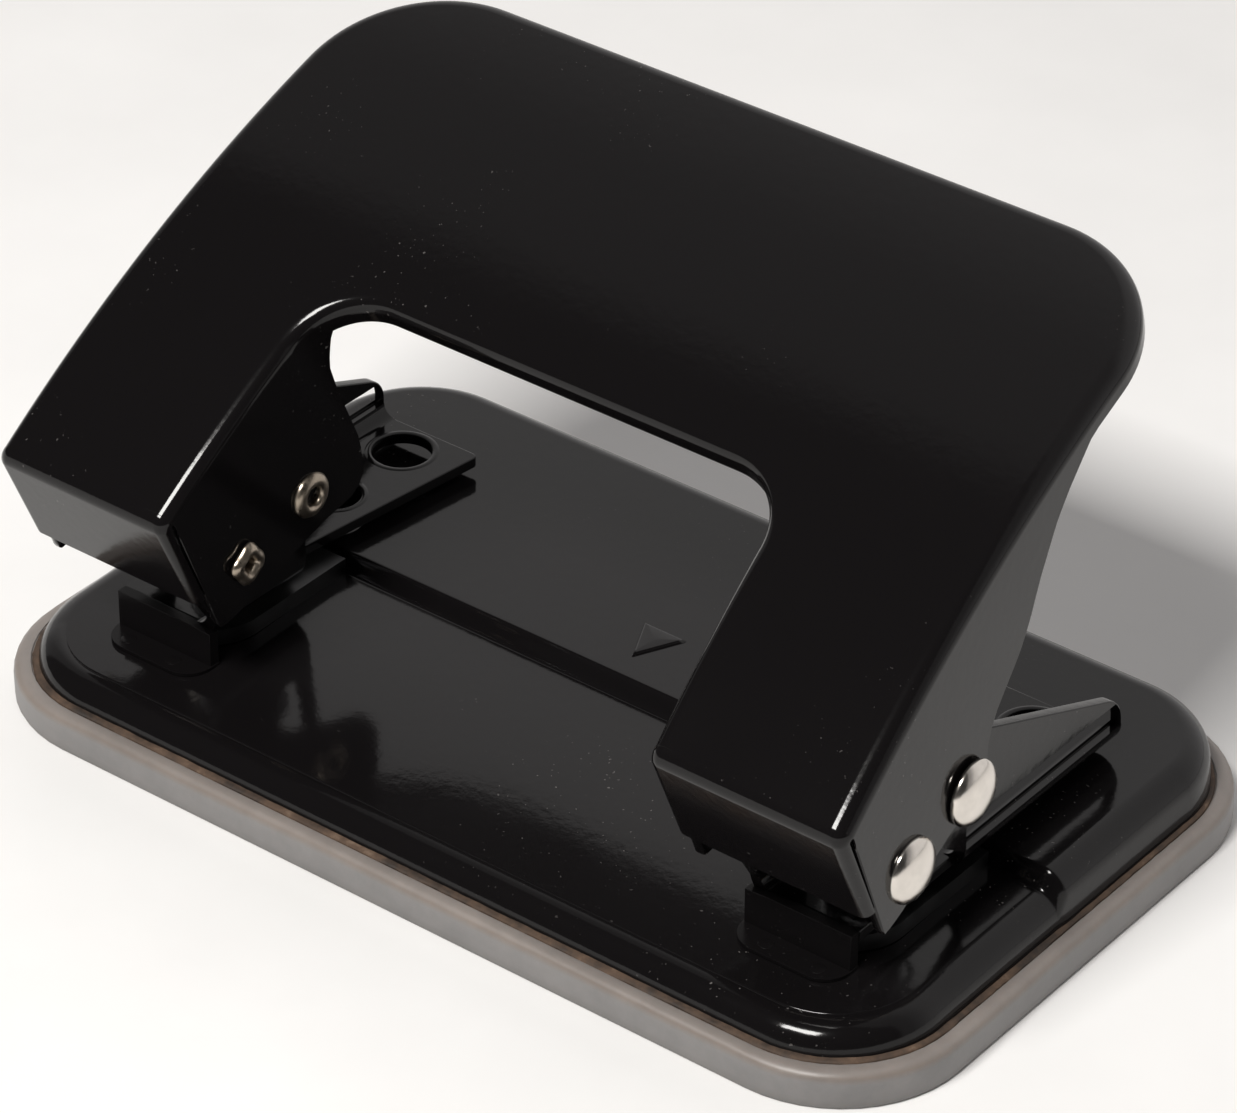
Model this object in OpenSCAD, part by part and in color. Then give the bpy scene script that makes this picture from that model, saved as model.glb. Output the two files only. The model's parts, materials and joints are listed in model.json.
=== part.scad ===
// Two-hole desk punch: pressed steel base and handle, two punch units 80 mm apart, clip-on chip tray.
// X runs along the line of holes, Y from the hinge side to the paper side, Z up.
// The origin is the middle of the underside of the tray.

/* [Tray] */
// Length of the chip tray along the line of holes
tray_w = 114; // [112.6:0.2:118]
// Depth of the chip tray, front to back
tray_d = 70.4; // [69.2:0.2:74]
// Height of the tray wall
tray_h = 4; // [3.4:0.1:4.4]
// Thickness of the tray floor
tray_floor = 1; // [0.8:0.1:1]

/* [Base] */
// Length of the steel base at its skirt
base_w = 110; // [108:0.2:110.4]
// Depth of the steel base at its skirt
base_d = 66.2; // [64.6:0.2:66.6]
// Outer corner radius of the skirt
base_r = 12.5; // [11:0.5:14]
// Height of the low floor on the hinge side
low_z = 7.5; // [7.3:0.1:7.5]
// Height of the raised paper platform
high_z = 9.3; // [9.3:0.1:9.4]
// Thickness of the base sheet
base_t = 1; // [0.8:0.1:1]

/* [Punch units] */
// Distance between the two holes
hole_pitch = 80; // [79.6:0.1:80.4]
// Diameter of a punched hole
rod_d = 6; // [5.6:0.1:6]
// Clear height of the paper slot
slot_h = 1; // [0.9:0.1:1.1]
// Thickness of the bracket and handle sheet
sheet_t = 1.2; // [1.2:0.1:1.3]

/* [Handle] */
// Half width of the handle across its legs
grip_half_w = 51.1; // [50.7:0.1:51.3]
// Length of the handle face along its curve
face_len = 66.8; // [65:0.2:68]
// Slope of the face at its lower edge, in degrees
face_slope = 39.6; // [38.6:0.2:40.2]
// Radius of the gentle curve of the face
face_r = 162; // [156:2:180]

/* [Hidden] */
$fn = 64;
eps = 0.01;
unit_x = hole_pitch / 2;

// Tray and base
tray_r = base_r + 1.5;
fit_gap = 0.2;
rim_in = 1;
skirt_z = tray_floor + 0.1;
shoulder_r = 2;
wall_draft = 0.4;
step_y = -1.1;
step_run = 1;

// Pivot and drive pins, in Y and Z
pivot = [-21.8, 21.3];
drive = [-12.4, 24.6];
rod_y = drive[0] + 0.28;
pin_d = 3.2;
running_gap = 0.05;

// Bracket
plate_z = high_z + slot_h;
plate_top = plate_z + sheet_t;
ear_out = 6.3;
ear_far = 7.2;
stop_y = -21.6;
foot_front = -25.8;
foot_t = 0.5;
rivet_y = -24.3;
rear_y = 19.1;
ear_slot_w = 4.4;
ear_slot_top = drive[1] - 0.4;
ear_slot_end = drive[1] - 6.4;
ear_r = 4.8;

// Punch rod and spring
rod_tip = plate_z + 0.3;
rod_top = drive[1] + 3.2;
bush_flange_z = plate_top + 0.6;
clip_z = drive[1] - pin_d / 2 - 1.7;
clip_t = 0.8;
coil_wire = 0.6;
coil_d = 7.8;
coil_turns = 4;

// Handle
face_start = [-33.2, 30.8];
face_turn = face_len / face_r * 180 / PI;
chord_tilt = face_slope - face_turn / 2;
face_centre = [face_start[0] + face_r * sin(face_slope), face_start[1] - face_r * cos(face_slope)];
lip_dir = [0.39, -0.921];
lip_depth = 12.4;
top_corner_r = 15;
leg_in = 2 * unit_x - grip_half_w + 0.3;
window_top = 29.3;
window_r = 7.5;

// A point on the handle face: s along the curve, d below the outer surface
function face_pt(s, d) =
  let (a = 90 + face_slope - s / face_r * 180 / PI)
  [face_centre[0] + (face_r - d) * cos(a), face_centre[1] + (face_r - d) * sin(a)];

// Points on an arc about a centre
function arc(c, r, a0, a1, n) = [for (i = [0:n]) c + r * [cos(a0 + (a1 - a0) * i / n), sin(a0 + (a1 - a0) * i / n)]];

// A flat outline drawn in Y and Z, made solid between two places on X
module along_x(x0, x1) {
  translate([x0, 0, 0])
    rotate([90, 0, 90])
      linear_extrude(x1 - x0)
        children();
}

// A pin along X
module pin(x0, x1, at, d) {
  translate([x0, at[0], at[1]])
    rotate([0, 90, 0])
      cylinder(h = x1 - x0, d = d);
}

module rounded_plate(w, d, r, h) {
  linear_extrude(h)
    union() {
      square([w - 2 * r, d], center = true);
      square([w, d - 2 * r], center = true);
      for (sx = [-1, 1], sy = [-1, 1])
        translate([sx * (w / 2 - r), sy * (d / 2 - r)])
          circle(r);
    }
}

// Section of the base edge: drafted wall with a rounded shoulder
module edge_section(r, z0, z1, inset) {
  reach = r - inset;
  lean = reach - wall_draft;
  round_r = shoulder_r - inset;
  polygon(concat(
    [[0, z0], [reach, z0]],
    arc([lean - round_r, z1 - inset - round_r], round_r, 0, 90, 5),
    [[0, z1 - inset]]
  ));
}

// Solid block with the base's outline, its edge section swept round the rim
module rim_block(z0, z1, inset) {
  dx = base_w / 2 - base_r;
  dy = base_d / 2 - base_r;
  for (q = [[1, 1, 0], [-1, 1, 90], [-1, -1, 180], [1, -1, 270]])
    translate([q[0] * dx, q[1] * dy, 0])
      rotate([0, 0, q[2]])
        rotate_extrude(angle = 90)
          edge_section(base_r, z0, z1, inset);
  for (side = [0, 180])
    rotate([0, 0, side]) {
      translate([-dx, dy, 0])
        rotate([90, 0, 90])
          linear_extrude(2 * dx)
            edge_section(base_r, z0, z1, inset);
      translate([dx, dy, 0])
        rotate([90, 0, 0])
          linear_extrude(2 * dy)
            edge_section(base_r, z0, z1, inset);
    }
  translate([-dx, -dy, z0])
    cube([2 * dx, 2 * dy, z1 - inset - z0]);
}

// Everything on the paper side of the step, down its slope
module paper_side(inset) {
  shift = inset * 0.4;
  along_x(-80, 80)
    polygon([
      [step_y - step_run / 2 + shift, -5],
      [step_y - step_run / 2 + shift, low_z - inset],
      [step_y + step_run / 2 + shift, high_z - inset],
      [step_y + step_run / 2 + shift, 40],
      [60, 40],
      [60, -5]
    ]);
}

module stepped_block(z0, inset) {
  rim_block(z0, low_z, inset);
  intersection() {
    rim_block(z0, high_z, inset);
    paper_side(inset);
  }
}

module chip_tray() {
  color([0.78, 0.75, 0.72, 0.85])
    difference() {
      rounded_plate(tray_w, tray_d, tray_r, tray_h);
      // groove that takes the skirt of the base
      translate([0, 0, tray_floor])
        rounded_plate(base_w + 2 * fit_gap, base_d + 2 * fit_gap, base_r + fit_gap, tray_h);
    }
  // inner wall that holds the chips and grips the skirt from inside
  color([0.78, 0.75, 0.72, 0.85])
    translate([0, 0, tray_floor - eps])
      difference() {
        wall_in = base_t + wall_draft + fit_gap;
        inner_w = base_w - 2 * wall_in;
        inner_d = base_d - 2 * wall_in;
        inner_r = base_r - wall_in;
        rounded_plate(inner_w, inner_d, inner_r, tray_h - tray_floor);
        translate([0, 0, -1])
          rounded_plate(inner_w - 2 * rim_in, inner_d - 2 * rim_in, inner_r - rim_in, tray_h + 2);
      }
}

// Raised triangle that marks the middle of the paper
module centre_mark() {
  translate([0, 0, high_z - eps])
    linear_extrude(0.25)
      polygon([[0, 2.6], [2.6, 8], [-2.6, 8]]);
}

module base_plate() {
  color([0.05, 0.05, 0.055])
    union() {
      difference() {
        stepped_block(skirt_z, 0);
        stepped_block(skirt_z - 1, base_t);
        for (side = [-1, 1]) {
          // chip hole under the die
          translate([side * unit_x, rod_y, 0])
            cylinder(h = 20, d = rod_d + 1.6);
          for (dx = [-3, 3])
            translate([side * unit_x + dx, rivet_y, 0])
              cylinder(h = 20, d = 1.6);
        }
      }
      centre_mark();
    }
}

// Flat outline of the die: parallel sides, round end towards the hinge
module die_outline() {
  union() {
    translate([-ear_out, stop_y + ear_out])
      square([2 * ear_out, step_y - step_run / 2 - 0.1 - stop_y - ear_out]);
    intersection() {
      translate([0, stop_y + ear_out])
        circle(ear_out);
      translate([-ear_out, stop_y + 0.05])
        square([2 * ear_out, 2 * ear_out]);
    }
  }
}

module die() {
  color([0.42, 0.42, 0.43])
    translate([0, 0, low_z])
      difference() {
        linear_extrude(high_z - low_z)
          die_outline();
        translate([0, rod_y, -1])
          cylinder(h = 6, d = rod_d + 0.1);
      }
}

// Side wall of the bracket on the outside: long ear with a notch under its front arm
module outer_ear_outline() {
  difference() {
    polygon(concat(
      [[rear_y, plate_z], [rear_y, 13.3]],
      arc([rear_y - 3.4, 13.3], 3.4, 0, 68, 6),
      [[-12, 28.4]],
      arc(pivot, ear_r, 68, 205, 10),
      [[stop_y - 1.2, 15.8], [-7, 15.8], [-7, plate_z]]
    ));
    ear_openings();
  }
}

// Side wall on the inside: short upright round the two pins
module inner_ear_outline() {
  difference() {
    polygon(concat(
      [[-8.2, plate_z], [-8.2, 26]],
      arc([-10.4, 26.4], 2.2, 0, 80, 5),
      arc(pivot, ear_r, 75, 205, 10),
      [[stop_y - 1.2, plate_z]]
    ));
    ear_openings();
  }
}

module ear_openings() {
  translate(pivot)
    circle(d = pin_d + 2 * running_gap);
  for (z = [ear_slot_top, ear_slot_end])
    translate([rod_y, z])
      circle(d = ear_slot_w);
  translate([rod_y - ear_slot_w / 2, ear_slot_end])
    square([ear_slot_w, ear_slot_top - ear_slot_end]);
}

// The bracket of the unit on the +X side, drawn about its own hole
module bracket() {
  color([0.06, 0.06, 0.065])
    difference() {
      union() {
        // guide plate above the paper slot
        translate([0, 0, plate_z])
          linear_extrude(sheet_t)
            polygon([
              [-6.8, rear_y], [ear_far, rear_y], [ear_far, -7], [ear_out - 1.1, -7],
              [ear_out - 1.1, stop_y - sheet_t], [-ear_out, stop_y - sheet_t],
              [-ear_out, -8.2], [-3.6, -6.4]
            ]);
        along_x(ear_far - sheet_t, ear_far)
          outer_ear_outline();
        along_x(-ear_out, -ear_out + sheet_t)
          inner_ear_outline();
        // paper stop down to the floor, and the foot in front of it
        translate([-ear_out, stop_y - sheet_t, low_z])
          cube([2 * ear_out - 1.1, sheet_t, plate_top - low_z]);
        translate([0, 0, low_z])
          linear_extrude(foot_t)
            foot_outline();
      }
      // guide bush seat and the two open holes behind it
      translate([0, rod_y, plate_z - 1])
        cylinder(h = 5, d = rod_d + 1.8);
      translate([0, 4.2, plate_z - 1])
        cylinder(h = 5, d = 5.4);
      translate([0, 14.8, plate_z - 1])
        cylinder(h = 5, d = 6.4);
      for (dx = [-3, 3])
        translate([dx, rivet_y, low_z - 1])
          cylinder(h = 4, d = 1.6);
    }
}

module foot_outline() {
  corner = 3;
  left = -ear_out;
  right = ear_out - 1.1;
  polygon(concat(
    [[right, stop_y], [left, stop_y]],
    arc([left + corner, foot_front + corner], corner, 180, 270, 8),
    arc([right - corner, foot_front + corner], corner, 270, 360, 8)
  ));
}

module bracket_rivets() {
  color([0.12, 0.12, 0.125])
    for (side = [-1, 1], dx = [-3, 3])
      translate([side * unit_x + dx, rivet_y, low_z - base_t]) {
        translate([0, 0, -0.8])
          cylinder(h = 0.8, d = 2.8);
        cylinder(h = base_t + foot_t + 0.05, d = 1.6);
      }
}

// Flanged bush that guides the punch rod through the bracket
module guide_bush() {
  color([0.62, 0.5, 0.28])
    translate([0, rod_y, 0])
      difference() {
        union() {
          translate([0, 0, plate_z])
            cylinder(h = sheet_t + 0.2, d = rod_d + 1.8);
          translate([0, 0, plate_top])
            cylinder(h = bush_flange_z - plate_top, d = 9);
        }
        translate([0, 0, plate_z - 1])
          cylinder(h = 6, d = rod_d + 2 * running_gap);
      }
}

// Hardened rod with a cross slot for the drive pin and a hollow cutting end
module punch_rod() {
  slot_z = pin_d + 0.2;
  slot_y = 4.2;
  color([0.66, 0.66, 0.67])
    difference() {
      translate([0, rod_y, rod_tip])
        cylinder(h = rod_top - rod_tip, d = rod_d);
      along_x(-5, 5)
        union() {
          translate([rod_y - (slot_y - slot_z) / 2, drive[1]])
            circle(d = slot_z);
          translate([rod_y + (slot_y - slot_z) / 2, drive[1]])
            circle(d = slot_z);
          translate([rod_y - (slot_y - slot_z) / 2, drive[1] - slot_z / 2])
            square([slot_y - slot_z, slot_z]);
        }
      // hollow ground cutting edge
      translate([0, rod_y + 6, rod_tip - 9.2])
        rotate([90, 0, 0])
          cylinder(h = 12, d = 20);
      // groove for the spring clip
      translate([0, rod_y, clip_z])
        difference() {
          cylinder(h = clip_t, d = rod_d + 2);
          cylinder(h = clip_t, d = rod_d - 1);
        }
    }
}

// Retaining clip that carries the top of the spring, open on one side
module spring_clip() {
  color([0.5, 0.5, 0.52])
    translate([0, rod_y, clip_z])
      difference() {
        cylinder(h = clip_t, d = 9.4);
        translate([0, 0, -1])
          cylinder(h = 3, d = rod_d - 1);
        translate([-1.9, 0, -1])
          cube([3.8, 8, 3]);
      }
}

// Closed tube swept along a helix, its end turns flattened to sit square
module return_spring() {
  steps = 16;
  count = coil_turns * steps;
  sides = 8;
  z_low = bush_flange_z + coil_wire / 2 + 0.02;
  z_high = clip_z - coil_wire / 2 - 0.02;
  function level(t) = z_low + (z_high - z_low) * min(1, max(0, (t - 0.7) / (coil_turns - 1.4)));
  function ring(i) =
    let (t = i / steps, a = 360 * t)
    [for (k = [0:sides - 1])
      let (b = 360 * k / sides, rr = coil_d / 2 + coil_wire / 2 * cos(b))
      [rr * cos(a), rr * sin(a), level(t) + coil_wire / 2 * sin(b)]];
  points = [for (i = [0:count]) each ring(i)];
  walls = [for (i = [0:count - 1], k = [0:sides - 1])
    let (n = (k + 1) % sides)
    [i * sides + k, i * sides + n, (i + 1) * sides + n, (i + 1) * sides + k]];
  caps = [[for (k = [sides - 1:-1:0]) k], [for (k = [0:sides - 1]) count * sides + k]];
  color([0.7, 0.7, 0.72])
    translate([0, rod_y, 0])
      polyhedron(points = points, faces = concat(walls, caps));
}

// Rivet along X: domed head outside the leg, rolled-over tail inside it
module leg_rivet(at, tail_d) {
  head_x = grip_half_w - unit_x;
  tail_x = leg_in - unit_x;
  color([0.75, 0.73, 0.7])
    difference() {
      union() {
        pin(tail_x - 0.9, head_x + 0.4, at, pin_d);
        translate([head_x, at[0], at[1]])
          rotate([0, 90, 0])
            rotate_extrude()
              polygon(concat(
                [[0, 0], [3.3, 0]],
                arc([2.5, 0.5], 0.8, 0, 70, 4),
                [[0, 1.5]]
              ));
        translate([tail_x, at[0], at[1]])
          rotate([0, -90, 0])
            rotate_extrude()
              polygon(concat([[0, 0], [tail_d / 2, 0]], arc([tail_d / 2 - 0.6, 0.4], 0.6, 0, 90, 4), [[0, 1]]));
      }
      pin(tail_x - 3, tail_x + 2, at, 1.9);
    }
}

// Outline of the handle face seen square on: x across, y up the slope
module face_outline(inset) {
  top = face_len * 0.993 - inset;
  wide = grip_half_w - inset;
  narrow = grip_half_w - 2.5 - inset;
  r = top_corner_r - inset;
  right = concat(
    [[wide, -12], [wide, 20]],
    arc([narrow - r, top - r], r, 0, 90, 12)
  );
  polygon(concat(right, [for (i = [len(right) - 1:-1:0]) [-right[i][0], right[i][1]]]));
}

// Outline of the opening between the legs, seen square on
module window_outline(grow) {
  right = concat(
    [[leg_in + grow, -30], [leg_in + grow, 19]],
    arc([leg_in - 0.8 - window_r, window_top - window_r], window_r + grow, 0, 90, 8)
  );
  polygon(concat(right, [for (i = [len(right) - 1:-1:0]) [-right[i][0], right[i][1]]]));
}

// Stands a face outline up at the slope of the face
module on_face() {
  translate([0, face_start[0], face_start[1]])
    rotate([chord_tilt, 0, 0])
      translate([0, 0, -60])
        linear_extrude(120)
          children();
}

// Side view of the leg and its flanges, between the face, the lip and the flanges' free edges
module flange_profile() {
  tip_centre = [-24.3, 17.3];
  polygon(concat(
    [for (i = [0:16]) face_pt(face_len * 1.02 * i / 16, 0)],
    [[13.7, 56], [7.9, 52.6], [4, 48.2], [2.3, 46], [-0.4, 41], [-2.1, 37.1], [-3.6, 34.7], [-5.6, 30.6]],
    arc([-8.2, 24.6], 3.6, 25, -70, 8),
    [[-14.2, 18.9]],
    arc(tip_centre, 1.75, -65, -161, 6),
    [
      face_start + lip_depth * lip_dir + [sheet_t * 1.05, 0],
      face_start + lip_depth * lip_dir
    ]
  ));
}

// What is cut away under the free edge of the outer flange
module side_flange_cut() {
  polygon(concat(
    [[10, 5], [-23, 5], [-23.1, 15.9], [-22, 16.4], [-18.3, 18.8]],
    arc(drive, 3.4, -128, 25, 10),
    [[-8.9, 28.6], [-7.3, 30.8], [-3.6, 34.7], [10, 34.8]]
  ));
}

// Everything more than the sheet thickness inside the face and the lip
module hollow_profile() {
  inner_start = face_start + [sheet_t * 1.35, -sheet_t * 0.2];
  polygon(concat(
    [for (i = [1:16]) face_pt(face_len * 1.05 * i / 16, sheet_t)],
    [[60, 30], [20, -20], face_start + 30 * lip_dir + [1.27, 0]],
    [inner_start + [0, -1.2]]
  ));
}

// What is cut away behind the free edge of the flange round the window
module window_flange_cut() {
  polygon(concat(
    [for (i = [0:10]) face_pt(25 + 41 * i / 10, 3)],
    [[60, 60], [60, 20], [-4.9, 26], [-5.6, 28.4], [-8.7, 35.2], [-9.6, 38]]
  ));
}

module handle() {
  color([0.05, 0.05, 0.055])
    difference() {
      intersection() {
        along_x(-60, 60)
          flange_profile();
        on_face()
          difference() {
            face_outline(0);
            window_outline(0);
          }
      }
      intersection() {
        along_x(-60, 60)
          hollow_profile();
        on_face()
          difference() {
            face_outline(sheet_t);
            window_outline(sheet_t);
          }
      }
      along_x(-leg_in - 2, leg_in + 2)
        window_flange_cut();
      for (side = [0, 1])
        mirror([side, 0, 0])
          along_x(leg_in + 6, 60)
            side_flange_cut();
      for (at = [pivot, drive])
        pin(-60, 60, at, pin_d);
    }
}

// A unit drawn about its own hole, set on the +X or the -X side
module on_right() {
  translate([unit_x, 0, 0])
    children();
}

module on_left() {
  mirror([1, 0, 0])
    on_right()
      children();
}

chip_tray();
base_plate();
bracket_rivets();
on_left() bracket();  // left_bracket
on_right() bracket();  // right_bracket
on_left() die();  // left_die
on_right() die();  // right_die
on_left() guide_bush();  // left_guide_bush
on_right() guide_bush();  // right_guide_bush
handle();
on_left() leg_rivet(pivot, 4.4);  // left_pivot_rivet
on_right() leg_rivet(pivot, 4.4);  // right_pivot_rivet
on_left() leg_rivet(drive, 4.9);  // left_drive_rivet
on_right() leg_rivet(drive, 4.9);  // right_drive_rivet
on_left() punch_rod();  // left_punch_rod
on_right() punch_rod();  // right_punch_rod
on_left() spring_clip();  // left_spring_clip
on_right() spring_clip();  // right_spring_clip
on_left() return_spring();  // left_return_spring
on_right() return_spring();  // right_return_spring
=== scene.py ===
import json
import math
import random

import bpy
import numpy as np
from mathutils import Matrix, Vector
from mathutils.geometry import delaunay_2d_cdt, intersect_line_line_2d


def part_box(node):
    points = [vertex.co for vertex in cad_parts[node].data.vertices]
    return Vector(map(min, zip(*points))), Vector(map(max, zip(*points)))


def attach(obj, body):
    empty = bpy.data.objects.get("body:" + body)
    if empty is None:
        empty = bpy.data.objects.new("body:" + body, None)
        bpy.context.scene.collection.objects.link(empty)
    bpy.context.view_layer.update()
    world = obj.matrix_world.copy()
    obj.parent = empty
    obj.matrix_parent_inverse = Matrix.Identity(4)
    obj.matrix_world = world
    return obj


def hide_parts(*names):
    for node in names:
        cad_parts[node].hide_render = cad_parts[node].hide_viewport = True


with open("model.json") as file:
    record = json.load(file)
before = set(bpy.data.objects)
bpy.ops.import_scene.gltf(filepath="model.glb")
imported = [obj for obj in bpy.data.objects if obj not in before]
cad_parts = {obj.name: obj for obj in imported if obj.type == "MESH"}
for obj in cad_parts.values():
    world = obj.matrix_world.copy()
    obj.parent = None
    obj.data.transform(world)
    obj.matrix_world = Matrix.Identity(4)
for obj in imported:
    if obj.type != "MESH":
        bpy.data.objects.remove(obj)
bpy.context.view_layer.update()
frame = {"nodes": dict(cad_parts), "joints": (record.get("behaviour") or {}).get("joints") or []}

# A two-hole desk punch, dressed round its CAD frame. +X runs along the line of holes, +Y from the
# hinge side to the paper side, +Z up. The pieces are drawn in mm, which mesh_object() turns into
# metres; materials, lamp and camera are in metres.
MM = 0.001


# ------------------------------------------------------------------ sizes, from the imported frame
def box_mm(name):
    """Low and high corner of a CAD piece."""
    return [tuple(c / MM for c in corner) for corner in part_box(name)]


def middle(name, axis):
    low, high = box_mm(name)
    return (low[axis] + high[axis]) / 2


BASE_X, BASE_Y, _ = box_mm("base_plate")[1]
TRAY_X, _, TRAY_Z = box_mm("chip_tray")[1]
LOW_Z, HIGH_Z = (corner[2] for corner in box_mm("left_die"))
PLATE_Z = box_mm("right_guide_bush")[0][2]
UNIT_X, ROD_Y = middle("right_punch_rod", 0), middle("right_punch_rod", 1)
PRESS = next(j for j in frame["joints"] if j["name"] == "handle_press")
PIVOT = (PRESS["pos_m"][1] / MM, PRESS["pos_m"][2] / MM)
DRIVE = (middle("right_drive_rivet", 1), middle("right_drive_rivet", 2))
SHEET = 1.2  # steel of the handle and of the brackets


# ------------------------------------------------------------------ mesh helpers
def unit(v):
    v = np.asarray(v, float)
    n = np.linalg.norm(v)
    return v / n if n > 1e-12 else v


def area_normals(me, limit):
    """Corner normals weighted by face area, so flat faces stay flat up to their rounded edges."""
    normal = [np.array(p.normal) for p in me.polygons]
    size = [p.area for p in me.polygons]
    users = [[] for _ in me.vertices]
    for p in me.polygons:
        for i in p.vertices:
            users[i].append(p.index)
    cos_limit = math.cos(math.radians(limit))
    out = []
    for p in me.polygons:
        own = normal[p.index]
        for i in p.vertices:
            near = [j for j in users[i] if np.dot(normal[j], own) > cos_limit]
            out.append(tuple(unit(sum((normal[j] * size[j] for j in near), own * 1e-15))))
    me.normals_split_custom_set(out)


def mesh_object(name, verts, faces, mat, normals=None, smooth_angle=None):
    me = bpy.data.meshes.new(name)
    me.from_pydata([tuple(float(c) * MM for c in v) for v in verts], [], faces)
    me.validate()
    me.update()
    me.materials.append(mat)
    for p in me.polygons:
        p.use_smooth = True
    if normals is not None:
        me.normals_split_custom_set_from_vertices([tuple(unit(n)) for n in normals])
    elif smooth_angle is not None:
        area_normals(me, smooth_angle)
    ob = bpy.data.objects.new(name, me)
    bpy.context.scene.collection.objects.link(ob)
    return ob


class Skin:
    """Outer surface of a bent sheet, with exact normals, closed to a solid by thicken()."""

    def __init__(self):
        self.v, self.n, self.f, self.at = [], [], [], {}

    def add(self, p, n):
        key = tuple(round(float(c), 3) for c in p)
        if key not in self.at:
            self.at[key] = len(self.v)
            self.v.append(np.array(p, float))
            self.n.append(unit(n))
        return self.at[key]

    def face(self, ids):
        """Face turned to the side its normals point to; repeated corners are dropped."""
        ring = [i for k, i in enumerate(ids) if i != ids[k - 1]]
        if len(set(ring)) < 3:
            return
        p = [self.v[i] for i in ring]
        fan = [np.cross(p[k] - p[0], p[k + 1] - p[0]) for k in range(1, len(p) - 1)]
        if np.dot(sum(fan, np.zeros(3)), sum(self.n[i] for i in ring)) < 0:
            ring = ring[::-1]
        self.f.append(ring)

    def grid(self, rows):
        """Faces between rows of (point, normal)."""
        ids = [[self.add(*c) for c in r] for r in rows]
        for a, b in zip(ids, ids[1:]):
            for k in range(len(a) - 1):
                self.face([a[k], a[k + 1], b[k + 1], b[k]])

    def thicken(self, t, bulge=0.1):
        """Vertices, faces and normals of the sheet, t thick, its free edges rounded by bulge."""
        count = len(self.v)
        v = list(self.v) + [p - n * t for p, n in zip(self.v, self.n)]
        n = list(self.n) + [-m for m in self.n]
        f = [list(r) for r in self.f] + [[i + count for i in reversed(r)] for r in self.f]
        edges = {(r[k - 1], r[k]): True for r in self.f for k in range(len(r))}
        rim = [(a, b) for a, b in edges if (b, a) not in edges]
        away = {}
        for a, b in rim:
            e = np.cross(unit(self.v[b] - self.v[a]), unit(self.n[a] + self.n[b]))
            for i in (a, b):
                away[i] = away.get(i, np.zeros(3)) + e
        first = {}
        for i, e in away.items():
            e = unit(e)
            p, m = self.v[i], self.n[i]
            first[i] = len(v)
            v += [p, p - m * t * 0.25 + e * bulge, p - m * t * 0.75 + e * bulge, p - m * t]
            n += [unit(m + 0.7 * e), unit(e + 0.35 * m), unit(e - 0.35 * m), unit(0.7 * e - m)]
        for a, b in rim:
            for k in range(3):
                f.append([first[b] + k, first[a] + k, first[a] + k + 1, first[b] + k + 1])
        return v, f, n


def flat_plate(outline, holes, t, bevel=0.14):
    """Vertices and faces of a plate from z = 0 to t, its edges rounded by bevel."""
    cu = bpy.data.curves.new("outline", "CURVE")
    cu.dimensions = "2D"
    cu.fill_mode = "BOTH"
    for ring in [outline] + holes:
        sp = cu.splines.new("POLY")
        sp.points.add(len(ring) - 1)
        for p, q in zip(sp.points, ring):
            p.co = (q[0], q[1], 0, 1)
        sp.use_cyclic_u = True
    cu.extrude = t / 2 - bevel
    cu.bevel_depth = bevel
    cu.bevel_resolution = 1
    cu.offset = -bevel
    ob = bpy.data.objects.new("outline", cu)
    bpy.context.scene.collection.objects.link(ob)
    bpy.context.view_layer.update()
    me = bpy.data.meshes.new_from_object(
        ob.evaluated_get(bpy.context.evaluated_depsgraph_get()))
    verts = [(v.co.x, v.co.y, v.co.z + t / 2) for v in me.vertices]
    faces = [list(p.vertices) for p in me.polygons]
    bpy.data.objects.remove(ob)
    bpy.data.curves.remove(cu)
    bpy.data.meshes.remove(me)
    return verts, faces


def circle(c, r, n=32, a0=0.0, a1=360.0, closed=True):
    angles = [math.radians(a0 + (a1 - a0) * k / n) for k in range(n if closed else n + 1)]
    return [(c[0] + r * math.cos(a), c[1] + r * math.sin(a)) for a in angles]


def arc(c, r, a0, a1, n):
    return circle(c, r, n, a0, a1, closed=False)


def rounded_ring(hx, hy, r, n_arc, n_x, side=None):
    """Points round a rounded rectangle, from its front left, each with the way out of it.

    n_x steps make the front and back edge, n_arc steps a corner; side holds the places of the
    points along a side edge, from 0 at the front to 1."""
    pts = []
    side = side or [k / 12 for k in range(13)]
    wide, deep = 2 * hx - 2 * r, 2 * hy - 2 * r

    def corner(cx, cy, start):
        for k in range(n_arc):
            a = math.radians(start + 90 * k / n_arc)
            pts.append((cx + r * math.cos(a), cy + r * math.sin(a), math.cos(a), math.sin(a)))

    pts += [(-hx + r + wide * k / n_x, -hy, 0, -1) for k in range(n_x)]
    corner(hx - r, -hy + r, -90)
    pts += [(hx, -hy + r + deep * k, 1, 0) for k in side[:-1]]
    corner(hx - r, hy - r, 0)
    pts += [(hx - r - wide * k / n_x, hy, 0, 1) for k in range(n_x)]
    corner(-hx + r, hy - r, 90)
    pts += [(-hx, -hy + r + deep * k, -1, 0) for k in reversed(side[1:])]
    corner(-hx + r, -hy + r, 180)
    return pts


def tube_faces(steps, m, first=0, flip=False):
    """Faces round a tube of steps columns with m points each."""
    faces = []
    for i in range(steps):
        j = (i + 1) % steps
        for k in range(m - 1):
            a, b = first + i * m + k, first + j * m + k
            faces.append([a, a + 1, b + 1, b] if flip else [a, b, b + 1, a + 1])
    return faces


def ring_faces(count, n, first=0):
    """Faces between count closed rings with n points each."""
    faces = []
    for k in range(first, first + (count - 1) * n, n):
        for i in range(n):
            j = (i + 1) % n
            faces.append([k + i, k + j, k + n + j, k + n + i])
    return faces


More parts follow.
